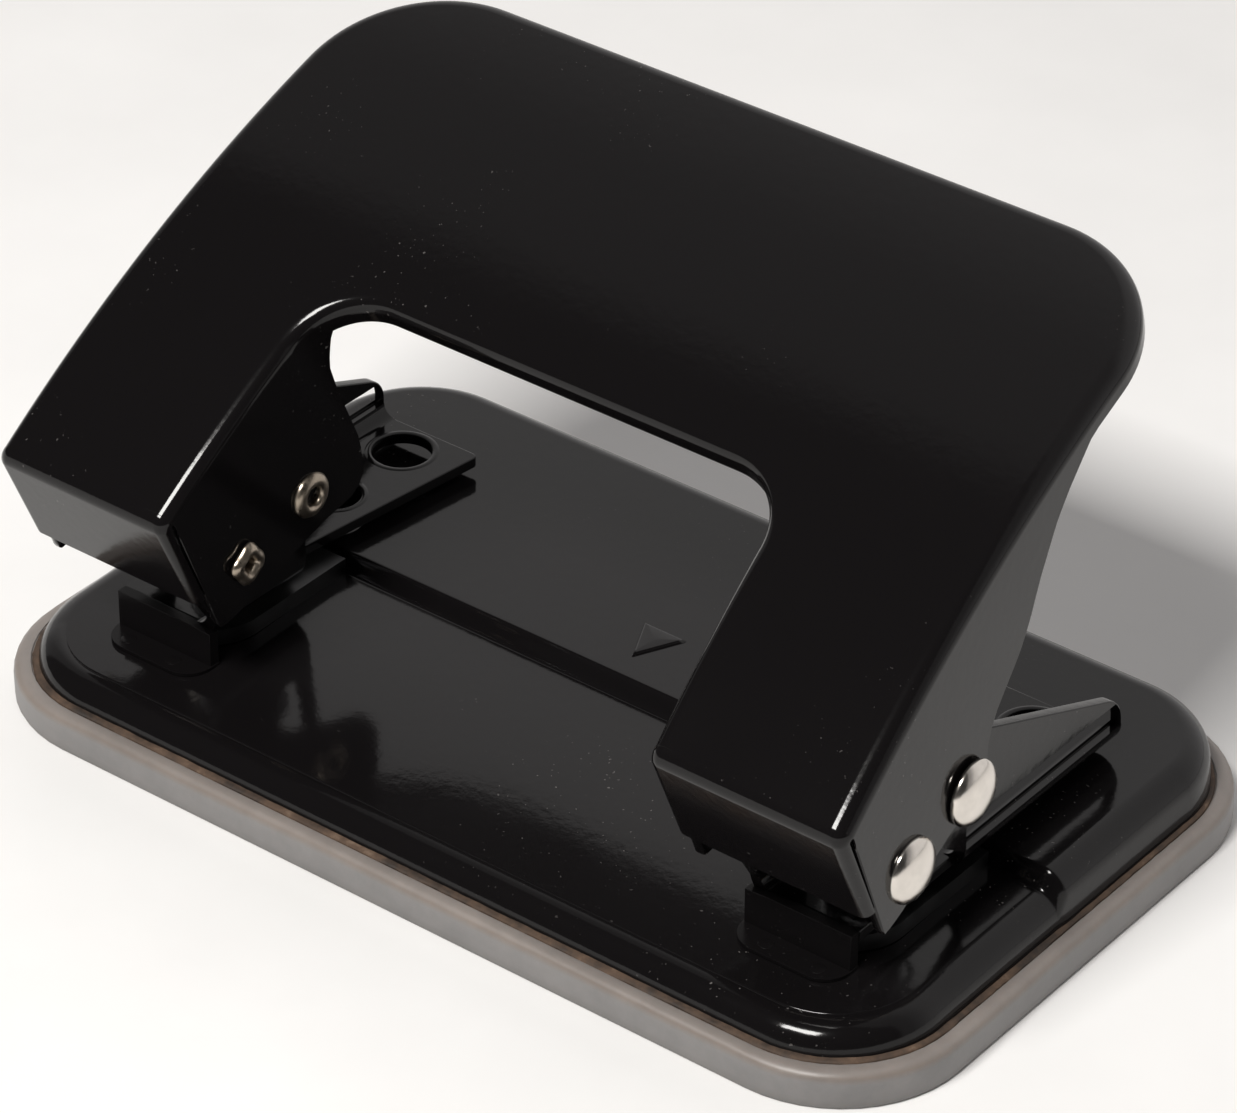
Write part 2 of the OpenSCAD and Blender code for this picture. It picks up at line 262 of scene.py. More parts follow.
def turned(profile, steps, centre, wave=None):
    """Points of a turned shape, column by column, from a profile of (radius, height)."""
    v = []
    for i in range(steps):
        a = 2 * math.pi * i / steps
        for j, (r, h) in enumerate(profile):
            r = r * (wave(a, j) if wave else 1.0)
            v.append((centre[0] + r * math.cos(a), centre[1] + r * math.sin(a), centre[2] + h))
    return v


# ------------------------------------------------------------------ materials
def new_mat(name):
    m = bpy.data.materials.new(name)
    m.use_nodes = True
    nt = m.node_tree
    return m, nt, nt.nodes["Principled BSDF"]


def node(nt, kind, inputs=None, **settings):
    n = nt.nodes.new("ShaderNode" + kind)
    for key, val in settings.items():
        setattr(n, key, val)
    for key, val in (inputs or {}).items():
        n.inputs[key].default_value = val
    return n


def noise(nt, scale, detail=4.0, rough=0.55, vec=None):
    n = node(nt, "TexNoise", {"Scale": scale, "Detail": detail, "Roughness": rough})
    nt.links.new(vec or node(nt, "TexCoord").outputs["Object"], n.inputs["Vector"])
    return n.outputs["Fac"]


def ramp(nt, src, stops):
    """Colour ramp of (place, colour) stops; a single number stands for a grey."""
    r = node(nt, "ValToRGB")
    marks = r.color_ramp.elements
    while len(marks) < len(stops):
        marks.new(0.5)
    for mark, (place, color) in zip(marks, stops):
        mark.position = place
        mark.color = (*(color if isinstance(color, tuple) else (color,) * 3), 1)
    nt.links.new(src, r.inputs["Fac"])
    return r.outputs["Color"]


def bump(nt, height, strength, distance, under=None):
    n = node(nt, "Bump", {"Strength": strength, "Distance": distance})
    nt.links.new(height, n.inputs["Height"])
    if under:
        nt.links.new(under, n.inputs["Normal"])
    return n.outputs["Normal"]


def multiply(nt, a, b):
    """Product of a socket with another socket or with a number."""
    n = node(nt, "Math", operation="MULTIPLY")
    nt.links.new(a, n.inputs[0])
    if isinstance(b, float):
        n.inputs[1].default_value = b
    else:
        nt.links.new(b, n.inputs[1])
    return n.outputs[0]


def enamel(name, speck=1.0, gloss=0.27, lustre=1.0):
    """Black stove enamel: pale specks in patches, a fine grain and a slow waviness."""
    m, nt, b = new_mat(name)
    rough = ramp(nt, noise(nt, 60, 3), [(0.3, 0.085 * lustre), (0.75, 0.13 * lustre)])
    specks = ramp(nt, noise(nt, 2600, 1, 0.4), [(0.742, 0.0), (0.775, 1.0)])
    patches = ramp(nt, noise(nt, 35, 3), [(0.52, 0.0), (0.66, 1.0)])
    mix = node(nt, "Mix", data_type="RGBA")
    mix.inputs["A"].default_value = (0.0052, 0.0046, 0.0049, 1)
    mix.inputs["B"].default_value = (0.32, 0.3, 0.29, 1)
    amount = multiply(nt, multiply(nt, specks, patches), 0.35 * speck)
    grain = bump(nt, noise(nt, 900, 2), 0.05, 0.0002)
    wavy = bump(nt, noise(nt, 22, 1), 0.12, 0.001, grain)
    nt.links.new(amount, mix.inputs["Factor"])
    nt.links.new(mix.outputs["Result"], b.inputs["Base Color"])
    nt.links.new(rough, b.inputs["Roughness"])
    nt.links.new(wavy, b.inputs["Normal"])
    b.inputs["Specular IOR Level"].default_value = gloss
    b.inputs["IOR"].default_value = 1.5
    return m


def metal(name, color, rough, scale, strength, stretch=None):
    """Metal with a grain that varies its tone and roughness; stretch draws the grain out."""
    m, nt, b = new_mat(name)
    b.inputs["Metallic"].default_value = 1.0
    vec = None
    if stretch:
        mapping = node(nt, "Mapping", {"Scale": stretch})
        nt.links.new(node(nt, "TexCoord").outputs["Object"], mapping.inputs["Vector"])
        vec = mapping.outputs["Vector"]
    grain = noise(nt, scale, 4, 0.6, vec)
    tint = ramp(nt, grain, [(0.25, tuple(c * 0.82 for c in color)), (0.75, color)])
    nt.links.new(tint, b.inputs["Base Color"])
    nt.links.new(ramp(nt, grain, [(0.3, rough[0]), (0.7, rough[1])]), b.inputs["Roughness"])
    nt.links.new(bump(nt, grain, strength, 0.0001), b.inputs["Normal"])
    return m


def tray_plastic(name):
    """Milky grey plastic, darker at the foot and browner towards the seam at the top."""
    m, nt, b = new_mat(name)
    sep = node(nt, "SeparateXYZ")
    nt.links.new(node(nt, "TexCoord").outputs["Object"], sep.inputs["Vector"])
    height = node(nt, "MapRange", {"From Min": 0.0, "From Max": 0.0042})
    nt.links.new(sep.outputs["Z"], height.inputs["Value"])
    uneven = node(nt, "Math", operation="MULTIPLY_ADD")
    nt.links.new(noise(nt, 45, 4, 0.6), uneven.inputs[0])
    uneven.inputs[1].default_value = 0.16
    nt.links.new(height.outputs["Result"], uneven.inputs[2])
    color = ramp(nt, uneven.outputs[0], [
        (0.05, (0.155, 0.148, 0.143)), (0.35, (0.215, 0.207, 0.205)),
        (0.78, (0.225, 0.218, 0.216)), (0.93, (0.215, 0.185, 0.165)), (1.0, (0.23, 0.205, 0.19))])
    cloud = noise(nt, 170, 5, 0.65)
    shade = ramp(nt, cloud, [(0.3, 0.82), (0.7, (1.06, 1.05, 1.04))])
    mul = node(nt, "Mix", data_type="RGBA", blend_type="MULTIPLY")
    mul.inputs["Factor"].default_value = 1.0
    nt.links.new(color, mul.inputs["A"])
    nt.links.new(shade, mul.inputs["B"])
    nt.links.new(mul.outputs["Result"], b.inputs["Base Color"])
    nt.links.new(ramp(nt, cloud, [(0.3, 0.34), (0.7, 0.5)]), b.inputs["Roughness"])
    nt.links.new(bump(nt, cloud, 0.12, 0.0003), b.inputs["Normal"])
    b.inputs["Subsurface Weight"].default_value = 0.25
    b.inputs["Subsurface Radius"].default_value = (0.004, 0.003, 0.0025)
    b.inputs["Subsurface Scale"].default_value = 0.6
    return m


# Dark brown colour of the band that fills the joint between tray and base: painted contact shadow.
def seam_dirt(name):
    m, nt, b = new_mat(name)
    grain = noise(nt, 260, 5, 0.7)
    color = ramp(nt, grain, [(0.35, (0.018, 0.011, 0.007)), (0.6, (0.09, 0.055, 0.035)),
                             (0.75, (0.2, 0.14, 0.1))])
    nt.links.new(color, b.inputs["Base Color"])
    nt.links.new(ramp(nt, grain, [(0.3, 0.6), (0.7, 0.9)]), b.inputs["Roughness"])
    return m


def floor_paper(name):
    m, nt, b = new_mat(name)
    color = ramp(nt, noise(nt, 30, 4), [(0.3, (0.80, 0.795, 0.79)), (0.7, (0.84, 0.835, 0.83))])
    nt.links.new(color, b.inputs["Base Color"])
    b.inputs["Roughness"].default_value = 0.75
    return m


ENAMEL = enamel("black_enamel")
# Shaded copy of the black enamel, with fewer pale specks, less gloss and more roughness: painted
# shade for the paper stops, bracket feet and foot rivets, which sit in shadow under the legs.
ENAMEL_SHADED = enamel("black_enamel_dull", speck=0.1, gloss=0.1, lustre=2.4)
TAIL = metal("rivet_tail", (0.42, 0.36, 0.29), (0.24, 0.42), 900, 0.12)
NICKEL = metal("nickel_plate", (0.78, 0.735, 0.68), (0.12, 0.26), 700, 0.06)
PUNCH = metal("punch_steel", (0.5, 0.5, 0.52), (0.22, 0.38), 900, 0.05, (1, 1, 0.1))
DIE = metal("die_steel", (0.09, 0.09, 0.092), (0.3, 0.45), 600, 0.08, (0.1, 1, 1))
BRASS = metal("bush_brass", (0.62, 0.43, 0.18), (0.2, 0.34), 500, 0.05)
WIRE = metal("spring_wire", (0.55, 0.55, 0.57), (0.2, 0.34), 1200, 0.05)
CLIP = metal("clip_steel", (0.42, 0.42, 0.44), (0.26, 0.4), 800, 0.06)
TRAY = tray_plastic("tray_plastic")
# Painted contact shadow for the band in the joint between tray and base.
SEAM_SHADOW_PAINT = seam_dirt("seam_dirt")

# ------------------------------------------------------------------ handle
# One bent sheet. Its face is an arc in Y and Z: s runs up along it from the front fold, and the
# flanges hang from its edges down to the free edges listed below.
SLOPE = math.radians(39.6)  # of the face at its front
FACE_R = 162.0
FACE_LEN = 66.7
START = np.array([-33.2, 30.8])  # front of the face, where s is 0
FACE_C = START + FACE_R * np.array([math.sin(SLOPE), -math.cos(SLOPE)])
TOP_R = 15.0  # corners at the top of the face

LIP = np.array([0.39, -0.921])  # down along the lip that closes the front of a leg
LIP_OUT = np.array([-0.921, -0.39])
LIP_LEN = 12.3
FOLD_R = 1.7  # fold between face and lip
HALF_FOLD = math.radians(36.7)
FACE_FOOT = 1.35  # the s where that fold begins

OUTER_FOLD, INNER_FOLD, LIP_END_FOLD = 1.75, 1.5, 1.12
OUTER_WAY, INNER_WAY = tuple(unit((1, 0.05))), tuple(unit((1, -0.06)))  # out of a leg, in x and s
WINDOW_R, WINDOW_TOP = 7.5, 29.2
FAN = 9.0  # length of face over which the flange turns from the lip's direction to its own
OUTER_HEM, INNER_HEM = 2.7, 2.8  # depth of the flange round the top and over the window
OUTER_HEM_S, INNER_HEM_S = 58.0, 28.9  # where those begin
PHIS = [math.radians(10 * k) for k in range(10)]  # round a quarter fold


def face_n(s):
    a = math.pi / 2 + SLOPE - s / FACE_R
    return np.array([math.cos(a), math.sin(a)])


def face_t(s):
    n = face_n(s)
    return np.array([n[1], -n[0]])


def face_pt(s, d=0.0):
    """Point of the face in Y and Z, d under its surface."""
    return FACE_C + (FACE_R - d) * face_n(s)


def outer_x(s):
    return 51.4 - 0.046 * max(s, 0)


def inner_x(s):
    return 29.45 - 0.06 * max(s, 0)


def yz(x, p):
    return np.array([x, p[0], p[1]])


# free edges of the flanges, in Y and Z, from the lip up past the rivets to the hem
OUTER_EDGE = (
    [(-34.4, 24.4), (-27.9, 18.4)] + arc((-25.6, 18.1), 1.75, 195, 300, 8)
    + [(-23.0, 17.2), (-19.2, 19.4), (-15.4, 21.4)] + arc(DRIVE, 3.35, 235, 385, 12)
    + [(-8.9, 28.7), (-7.6, 30.9), (-4.0, 35.0), (-2.5, 37.4), (-0.8, 41.3), (1.9, 46.2),
       (3.6, 48.4), (7.6, 52.5)]
    + [tuple(face_pt(s, OUTER_HEM)) for s in np.linspace(58, 73, 8)])
INNER_EDGE = (
    [(-34.4, 24.4), (-27.8, 17.4)] + arc((-24.9, 17.0), 1.7, 195, 290, 8)
    + [(-22.5, 15.9), (-14.2, 18.9), (-10.2, 20.5)] + arc((-8.2, 24.6), 3.6, -60, 30, 8)
    + [(-5.6, 28.5), (-8.6, 35.2), (-9.9, 38.6)]
    + [tuple(face_pt(s, INNER_HEM)) for s in np.linspace(26, 73, 20)])


def depth_way(s):
    """Way down a flange: along the lip at the front, square to the face further up."""
    n = -face_n(max(s, FACE_FOOT))
    a0, a1 = math.atan2(LIP[1], LIP[0]), math.atan2(n[1], n[0])
    k = min(1.0, max(0.0, (s - FACE_FOOT) / FAN))
    a = a0 + (a1 - a0) * k * k * (3 - 2 * k)
    return np.array([math.cos(a), math.sin(a)])


def flange_depth(edge, hem, hem_s):
    """Depth of a flange as a function of s: down to its free edge, then that of the hem."""
    def depth(s):
        a = Vector(face_pt(s))
        b = a + Vector(depth_way(s)) * 60
        hits = [intersect_line_line_2d(a, b, Vector(p), Vector(q)) for p, q in zip(edge, edge[1:])]
        found = [(hit - a).length for hit in hits if hit is not None]
        return min(found) if found and s < hem_s else hem
    return depth


def mirrored(side, centre):
    """An edge of the face as (x, s, way out in x and s), continued over the middle."""
    return side + [centre] + [(-x, s, -nx, ns) for x, s, nx, ns in reversed(side)]


def outer_loop():
    """Edge of the handle from the right leg over the top to the left leg."""
    cs = FACE_LEN - TOP_R
    a0 = math.atan(0.05)
    end = cs + TOP_R * math.sin(a0)
    cx = outer_x(end) - TOP_R * math.cos(a0)
    side = [(outer_x(s), s, *OUTER_WAY)
            for s in list(np.linspace(FACE_FOOT, 10, 12)) + list(np.linspace(11, end, 28))[:-1]]
    for k in range(29):
        a = a0 + (math.pi / 2 - a0) * k / 28
        side.append((cx + TOP_R * math.cos(a), cs + TOP_R * math.sin(a), math.cos(a), math.sin(a)))
    side += [(cx * (1 - k / 20), FACE_LEN, 0, 1) for k in range(1, 20)]
    return mirrored(side, (0, FACE_LEN, 0, 1))


def window_loop():
    """Edge of the opening from the left leg, up, across and down to the right leg."""
    r = WINDOW_R
    cs = WINDOW_TOP - r
    cx = inner_x(cs) - r
    side = [(-inner_x(s), s, *INNER_WAY)
            for s in list(np.linspace(FACE_FOOT, 10, 12)) + list(np.linspace(11, cs, 8))[:-1]]
    for k in range(21):
        a = math.pi / 2 * k / 20
        side.append((-cx - r * math.cos(a), cs + r * math.sin(a), math.cos(a), -math.sin(a)))
    side += [(-cx * (1 - k / 16), WINDOW_TOP, 0, -1) for k in range(1, 16)]
    return mirrored(side, (0, WINDOW_TOP, 0, -1))


def add_flange(skin, loop, r, depth_of):
    """Quarter fold of radius r along an edge and the flange below it.

    Returns the line where the fold leaves the face, as (x, s)."""
    rows, line = [], []
    for x, s, nx, ns in loop:
        side = yz(nx, ns * face_t(s))
        up = yz(0, face_n(s))
        row = []
        for phi in PHIS:
            o, d = r * (1 - math.sin(phi)), r * (1 - math.cos(phi))
            row.append((yz(x - nx * o, face_pt(s - ns * o, d)),
                        unit(math.cos(phi) * up + math.sin(phi) * side)))
        line.append((x - nx * r, s - ns * r))
        top = yz(x, face_pt(s, r))
        foot = yz(x, face_pt(s) + depth_way(s) * max(depth_of(s), r + 0.4))
        row += [(top + (foot - top) * k, side) for k in (0.15, 0.35, 0.55, 0.75, 0.9, 0.97, 1.0)]
        rows.append(row)
    skin.grid(rows)
    return line


def inside(poly, x, y):
    hit = False
    for (x0, y0), (x1, y1) in zip(poly, poly[1:] + poly[:1]):
        if (y0 > y) != (y1 > y) and x < (x1 - x0) * (y - y0) / (y1 - y0) + x0:
            hit = not hit
    return hit


def add_face(skin, outer, window):
    """The face between the folds, triangulated over a loose grid of inner points."""
    cell = 3.0
    left, right = outer[-1][0], window[0][0]
    foot = [(left + (right - left) * k / 10, FACE_FOOT) for k in range(1, 10)]
    outline = outer + foot + window + [(-x, s) for x, s in reversed(foot)]
    pts = list(outline)
    for x in np.arange(-49.5, 50, cell):
        for s in np.arange(FACE_FOOT + 2, FACE_LEN - 1, cell):
            if inside(outline, x, s) and min((x - a) ** 2 + (s - b) ** 2 for a, b in outline) > 1.2:
                pts.append((x, s))
    n = len(outline)
    edges = [(k, (k + 1) % n) for k in range(n)]
    corners, _, cells = delaunay_2d_cdt([Vector(p) for p in pts], edges, [], 0, 1e-5)[:3]
    ids = [skin.add(yz(p.x, face_pt(p.y)), yz(0, face_n(p.y))) for p in corners]
    for tri in cells:
        x = sum(corners[i].x for i in tri) / len(tri)
        s = sum(corners[i].y for i in tri) / len(tri)
        if inside(outline, x, s):
            skin.face([ids[i] for i in tri])


def add_lips(skin):
    """Lip of each leg: folded down, its ends turned round the corners to meet the flanges."""
    s1 = FOLD_R * math.tan(HALF_FOLD)
    centre = face_pt(s1, FOLD_R)
    a_face = math.atan2(face_n(s1)[1], face_n(s1)[0])
    a_lip = math.atan2(LIP_OUT[1], LIP_OUT[0]) + 2 * math.pi
    # (point, normal, how much of the flange's own fold radius is left)
    path = [(face_pt(FACE_FOOT), face_n(FACE_FOOT), 1.0)]
    for k in range(13):
        a = a_face + (a_lip - a_face) * k / 12
        n = np.array([math.cos(a), math.sin(a)])
        path.append((centre + FOLD_R * n, n, 1 - k / 12))
    fold_end = path[-1][0]
    for k in (0.1, 0.25, 0.45, 0.65, 0.85, 0.95, 1.0):
        path.append((fold_end + LIP * (LIP_LEN - s1) * k, LIP_OUT, 0.0))

    x_in, x_out = inner_x(FACE_FOOT), outer_x(FACE_FOOT)

    def end(mirror, p, n, x, way, r):
        part = []
        for phi in PHIS:
            o, d = r * (1 - math.sin(phi)), r * (1 - math.cos(phi))
            part.append((yz(mirror * (x - way * o), p - n * d),
                         unit(math.cos(phi) * yz(0, n) + math.sin(phi) * yz(mirror * way, (0, 0)))))
        return part

    for mirror in (1, -1):
        rows = []
        for p, n, left in path:
            r_in = LIP_END_FOLD + (INNER_FOLD - LIP_END_FOLD) * left
            r_out = LIP_END_FOLD + (OUTER_FOLD - LIP_END_FOLD) * left
            a, b = x_in + r_in, x_out - r_out
            rows.append(end(mirror, p, n, x_in, -1, r_in)[::-1]
                        + [(yz(mirror * (a + (b - a) * k / 10), p), yz(0, n)) for k in range(1, 10)]
                        + end(mirror, p, n, x_out, 1, r_out))
        skin.grid(rows)


def build_handle():
    skin = Skin()
    outer = add_flange(skin, outer_loop(), OUTER_FOLD,
                       flange_depth(OUTER_EDGE, OUTER_HEM, OUTER_HEM_S))
    window = add_flange(skin, window_loop(), INNER_FOLD,
                        flange_depth(INNER_EDGE, INNER_HEM, INNER_HEM_S))
    add_face(skin, outer, window)
    add_lips(skin)
    v, f, normals = skin.thicken(SHEET)
    return mesh_object("handle_shell", v, f, ENAMEL, normals)


handle = build_handle()
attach(handle, "grip")
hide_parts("handle")

# ------------------------------------------------------------------ base
# A pressed steel cover: drafted skirt, rounded shoulder, low floor on the hinge side and a raised
# platform for the paper.
BASE_R = 12.5
BASE_T = 0.9
SKIRT_FOOT = 1.1
DRAFT = 0.4
SHOULDER = 2.9
STEP_Y, STEP_RUN = -1.9, 1.7  # where the floor begins to rise, and over what length
FALL_Y, FALL = -7.5, 0.0013  # the low floor sags from here on towards the hinge side
CHIP_HOLE = 4.6  # half width of the opening under a die
CHIP_BACK, CHIP_FRONT = -17.5, -6.5
RAISED_MARK = [(0, 2.6), (2.7, 8.1), (-2.7, 8.1)]  # triangle on the platform
MARK_CENTRE = (0, 6.2)
# (scale about the centre, height over the platform, upward part of the normal)
MARK_RINGS = ((1.0, -0.02, 0.2), (0.93, 0.16, 0.8), (0.87, 0.26, 1.4), (0.8, 0.28, 9),
              (0.0, 0.28, 9))


def floor_z(y):
    t = min(1.0, max(0.0, (y - STEP_Y) / STEP_RUN))
    sag = FALL * max(0.0, FALL_Y - y) ** 2
    return LOW_Z - sag + (HIGH_Z - LOW_Z) * (t * t * (3 - 2 * t))


def floor_up(y):
    """Normal of the floor."""
    h = 0.02
    return unit((0, -(floor_z(y + h) - floor_z(y - h)) / (2 * h), 1))


def base_section(x, y, nx, ny):
    """Skirt and shoulder at one place of the rim, as (point, normal) from the foot up."""
    wall_top = floor_z(y) - SHOULDER
    out = []
    for k in (0, 0.3, 0.6, 0.85, 1):
        o = DRAFT * k
        z = SKIRT_FOOT + (wall_top - SKIRT_FOOT) * k
        out.append((np.array([x - nx * o, y - ny * o, z]), np.array([nx, ny, 0.16])))
    up = floor_up(y) if abs(ny) < 0.5 else np.array([0, 0, 1.0])
    for k in range(1, 9):
        a = math.radians(90 * k / 8)
        o = DRAFT + SHOULDER * (1 - math.cos(a))
        out.append((np.array([x - nx * o, y - ny * o, wall_top + SHOULDER * math.sin(a)]),
                    math.cos(a) * np.array([nx, ny, 0]) + math.sin(a) * up))
    return out


def add_floor(skin, rim):
    """Floor and platform: rows across the base at each place of the rim, with the chip holes."""
    right = [p for p in rim if p[0] > 0]
    lanes = sorted({round(p[1], 4) for p in rim})
    columns = sorted({round(p[0], 4) for p in rim if abs(p[1] - lanes[0]) < 1e-3})

    def row(y):
        hx = min(right, key=lambda p: (round(abs(p[1] - y), 3), -p[0]))[0]
        past_hole = min(hx, UNIT_X + 4.2)
        inner = [x for x in columns if abs(x) < columns[-1] - 0.01]
        return [(np.array([x, y, floor_z(y)]), floor_up(y))
                for x in [-hx, -past_hole] + inner + [past_hole, hx]]

    for a, b in zip(lanes, lanes[1:]):
        near, far = row(a), row(b)
        open_lane = CHIP_BACK < a and b < CHIP_FRONT
        near_ids, far_ids = [skin.add(*c) for c in near], [skin.add(*c) for c in far]
        for k in range(len(near) - 1):
            off = max(abs(abs(near[i][0][0]) - UNIT_X) for i in (k, k + 1))
            if not (open_lane and off < CHIP_HOLE):
                skin.face([near_ids[k], near_ids[k + 1], far_ids[k + 1], far_ids[k]])


def add_mark(v, f, normals):
    """Raised triangle that marks the middle of the paper."""
    first, steps = len(v), 10
    for scale, height, up in MARK_RINGS:
        for (x0, y0), (x1, y1) in zip(RAISED_MARK, RAISED_MARK[1:] + RAISED_MARK[:1]):
            away = unit((y1 - y0, x0 - x1, 0))
            for j in range(steps):
                x, y = x0 + (x1 - x0) * j / steps, y0 + (y1 - y0) * j / steps
                v.append(np.array([MARK_CENTRE[0] + (x - MARK_CENTRE[0]) * scale,
                                   MARK_CENTRE[1] + (y - MARK_CENTRE[1]) * scale,
                                   HIGH_Z + height]))
                normals.append(unit(away + np.array([0, 0, up])))
    f += ring_faces(len(MARK_RINGS), 3 * steps, first)


def build_base():
    skin = Skin()
    # places along a side edge, close together over the step
    side = ([0.06 * k for k in range(7)] + [0.4, 0.43] + [0.447 + 0.006 * k for k in range(9)]
            + [0.502, 0.52, 0.56, 0.62, 0.7, 0.8, 0.9, 1])
    sections = [base_section(*p) for p in rounded_ring(BASE_X, BASE_Y, BASE_R, 16, 26, side)]
    skin.grid(sections + [sections[0]])
    add_floor(skin, [s[-1][0] for s in sections])
    v, f, normals = skin.thicken(BASE_T, 0.06)
    add_mark(v, f, normals)
    return mesh_object("base_shell", v, f, ENAMEL, normals)


base = build_base()
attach(base, "base")
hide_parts("base_plate")


# ------------------------------------------------------------------ chip tray
def build_tray():
    """Tray with a groove for the base's skirt and an inner wall that holds the chips."""
    wall = TRAY_X - BASE_X
    fit = 0.15
    # (offset outward from the skirt of the base, height), from the foot over the rim to the floor
    outside = [(wall - 0.5, 0.0), (wall - 0.12, 0.1), (wall, 0.45), (wall, 1.6), (wall, 3.0),
               (wall - 0.12, 3.5), (wall - 0.45, 3.85), (wall - 0.9, TRAY_Z)]
    rim = [(wall - 1.6, TRAY_Z - 0.02), (0.5, TRAY_Z - 0.12), (fit + 0.05, 3.75)]
    groove = [(fit, 3.4), (fit, 1.2), (fit - 0.1, 1.0), (-1.9, 1.0), (-2.05, 1.1)]
    inner_wall = [(-2.05, 3.6), (-2.2, 3.8), (-2.9, 3.8), (-3.05, 3.6), (-3.05, 1.2), (-3.4, 1.0)]
    section = outside + rim + groove + inner_wall
    v = []
    for o, z in section:
        r = BASE_R + min(o, 1.6) if o > -3 else BASE_R + o
        ring = rounded_ring(BASE_X + o, BASE_Y + o, r, 12, 40)
        v += [(x, y, z) for x, y, _, _ in ring]
    n = len(ring)
    f = ring_faces(len(section), n)
    f.append([(len(section) - 1) * n + i for i in range(n)])
    f.append(list(reversed(range(n))))
    return mesh_object("tray_shell", v, f, TRAY, smooth_angle=50)


tray = build_tray()
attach(tray, "tray")
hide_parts("chip_tray")


def build_seam_shadow():
    """Uneven dark brown band that fills the joint between tray and base: a painted contact shadow.
    """
    rng = random.Random(11)
    ring = rounded_ring(BASE_X, BASE_Y, BASE_R, 40, 220, [k / 120 for k in range(121)])
    n = len(ring)
    raw = [rng.uniform(-1, 1) for _ in range(n)]
    v = []
    for i, (x, y, nx, ny) in enumerate(ring):
        soft = sum(raw[(i + k) % n] for k in range(-2, 3)) / 5
        w = 0.16 + 0.3 * max(0.0, soft + 0.05)
        section = ((-0.45, 4.14 + 0.08 * soft), (-0.05, 4.08 + 0.08 * soft), (w, TRAY_Z - 0.04),
                   (w + 0.05, TRAY_Z - 0.22), (0.1, 3.5))
        v += [(x + nx * o, y + ny * o, z) for o, z in section]
    return mesh_object("seam_line", v, tube_faces(n, 5, flip=True), SEAM_SHADOW_PAINT, smooth_angle=60)


seam = build_seam_shadow()
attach(seam, "tray")

# ------------------------------------------------------------------ brackets
# One bent sheet at each unit, drawn for the right one round the unit's own x and mirrored: a guide
# plate, a long outer ear, a short inner ear, and a paper stop stepped down to a thin foot.
BRACKET_LOW, BRACKET_HIGH = box_mm("right_bracket")
EAR_OUT, EAR_IN = BRACKET_HIGH[0] - UNIT_X, UNIT_X - BRACKET_LOW[0]
REAR_Y = BRACKET_HIGH[1]
STOP_Y = -21.6
NOTCH_Y = -7.0  # the outer ear's foot begins behind this
INNER_REAR_Y = -8.2  # back of the inner ear
BEND = 2.6  # outside radius between plate and ears
OVERLAP = 0.35  # how far plate and ears run into the bend
EAR_FOOT_Z = PLATE_Z + BEND - OVERLAP
EAR_LEAN = math.tan(math.radians(2.0))
EAR_R = 4.8  # round the pivot
PIVOT_HOLE = 1.66
SLOT_TOP, SLOT_END, SLOT_W = DRIVE[1] - 0.4, DRIVE[1] - 6.4, 4.4
GUIDE_HOLE = 3.9
PAPER_HOLES = ((4.2, 2.7), (14.8, 3.2))  # (y, radius) of the two open holes behind the guide


def slot_ring():
    return (arc((ROD_Y, SLOT_TOP), SLOT_W / 2, 0, 180, 16)
            + arc((ROD_Y, SLOT_END), SLOT_W / 2, 180, 360, 16))


def bend_strip(y0, y1, x_flat, way):
    """Quarter bend from the plate up into an ear, way being +1 or -1 in x."""
    v, f = [], []
    m, rows = 9, 9
    for y in np.linspace(y0, y1, rows):
        for r in (BEND, BEND - SHEET):
            for k in range(m):
                a = math.radians(90 * k / (m - 1))
                v.append((x_flat + way * (r * math.sin(a)), y, PLATE_Z + BEND - r * math.cos(a)))
    w = 2 * m
    for i in range(rows - 1):
        for k in range(i * w, i * w + m - 1):
            f.append([k, k + 1, k + w + 1, k + w])
            f.append([k + m + 1, k + m, k + w + m, k + w + m + 1])
    for i in (0, rows - 1):
        for k in range(i * w, i * w + m - 1):
            q = [k, k + m, k + m + 1, k + 1]
            f.append(q if i == 0 else q[::-1])
    return v, f


def guide_plate():
    back = -6.1
    outline = (
        [(EAR_OUT - BEND + OVERLAP, REAR_Y), (back, REAR_Y)]
        + arc((back, REAR_Y - 0.7), 0.7, 90, 180, 4)
        + [(-3.6, -6.4), (-EAR_IN + BEND - OVERLAP, INNER_REAR_Y),
           (-EAR_IN + BEND - OVERLAP, STOP_Y), (EAR_IN - 1.1, STOP_Y), (EAR_IN - 1.1, NOTCH_Y),
           (EAR_OUT - BEND + OVERLAP, NOTCH_Y)])
    (y1, r1), (y2, r2) = PAPER_HOLES
    holes = [circle((0, ROD_Y), GUIDE_HOLE, 32), circle((0, y1), r1, 40), circle((0, y2), r2, 44)]
    v, f = flat_plate(outline, holes, SHEET)
    return [(x, y, z + PLATE_Z) for x, y, z in v], f


def hole_rim(y, r):
    """Soft raised rim round an open hole of the guide plate."""
    t = SHEET
    profile = [(r - 0.02, 0.9), (r + 0.06, t + 0.01), (r + 0.3, t + 0.1), (r + 0.55, t + 0.07),
               (r + 0.75, t - 0.02)]
    return turned(profile, 48, (0, y, PLATE_Z)), tube_faces(48, len(profile))


def ear(outline, x, lean=0.0):
    """Ear drawn in Y and Z, stood up at x and leaning inward from its foot."""
    v, f = flat_plate(outline, [circle(PIVOT, PIVOT_HOLE, 28), slot_ring()], SHEET)
    return [(x + t - lean * (z - EAR_FOOT_Z), y, z) for y, z, t in v], f


